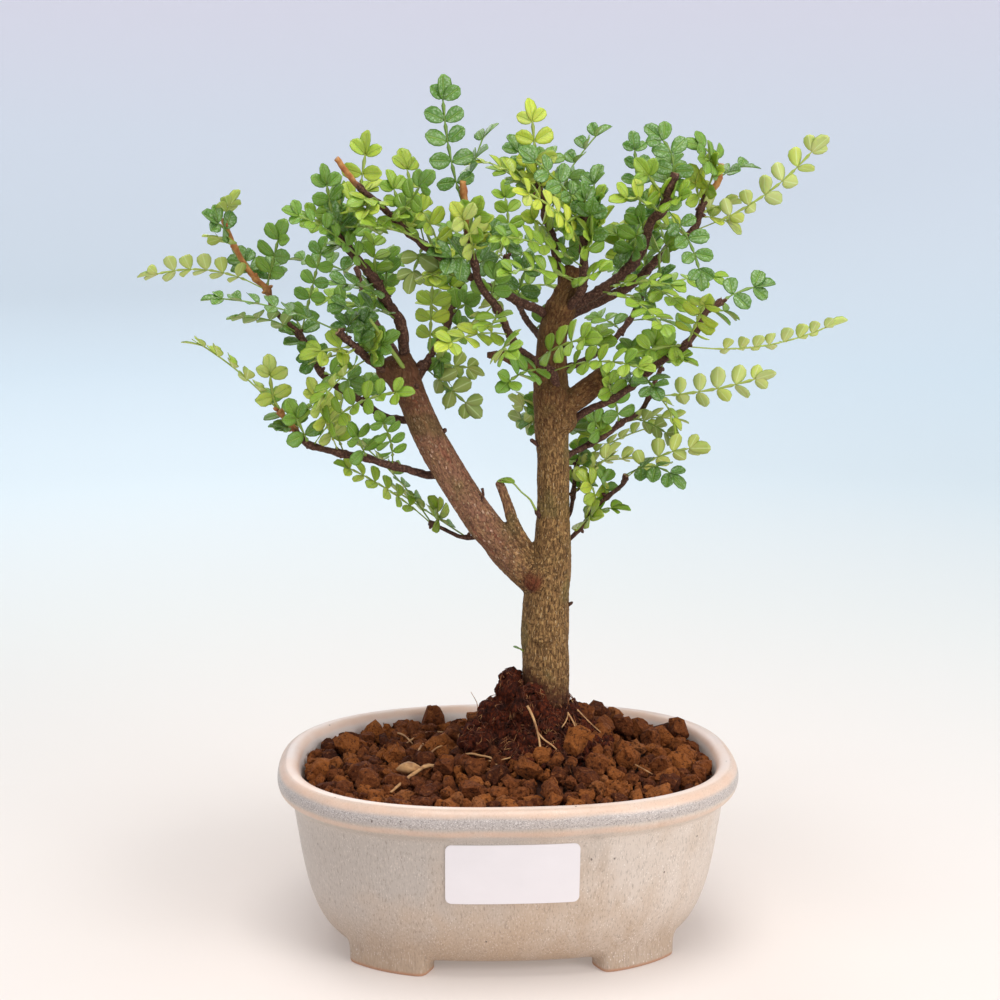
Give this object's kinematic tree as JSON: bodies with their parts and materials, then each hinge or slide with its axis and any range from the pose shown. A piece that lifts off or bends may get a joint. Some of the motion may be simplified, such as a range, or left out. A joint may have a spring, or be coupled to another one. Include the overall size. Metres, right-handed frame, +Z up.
{
  "type": "japanese pepper bonsai",
  "caption": "Small indoor bonsai tree with a forked trunk and pinnate leaves, standing in soil in a low glazed pot.",
  "frame": {"origin": "on the surface that the pot stands on, under the middle of the bounding box", "axes": "+Z up along the trunk, +X along the pot's long side to the right, -Y towards the front, which bears the label"},
  "size_m": [0.2548, 0.1474, 0.318],
  "materials": {
    "glaze": "satin",
    "paper": "matte",
    "clay_granules": "matte",
    "peat": "matte",
    "bark": "matte",
    "leaf_green": "satin"
  },
  "bodies": {
    "root": {"pot": "glaze", "label": "paper", "soil": "clay_granules", "root_ball": "peat", "trunk": "bark", "leafy_left_upper": "leaf_green", "leafy_left_far": "leaf_green", "leafy_left_short": "leaf_green", "leafy_left_low": "leaf_green", "leafy_left_hanging": "leaf_green", "leafy_left_inner": "leaf_green", "leafy_front_left": "leaf_green", "leafy_front_tall": "leaf_green", "leafy_crown_centre": "leaf_green", "leafy_crown_front": "leaf_green", "leafy_right_upper": "leaf_green", "leafy_right_far": "leaf_green", "leafy_right_middle": "leaf_green", "leafy_right_thin": "leaf_green", "leafy_right_low": "leaf_green", "leafy_right_behind": "leaf_green", "leafy_back_low": "leaf_green", "leafy_back_left": "leaf_green", "leafy_back_middle": "leaf_green", "leafy_back_right": "leaf_green"}
  },
  "joints": []
}
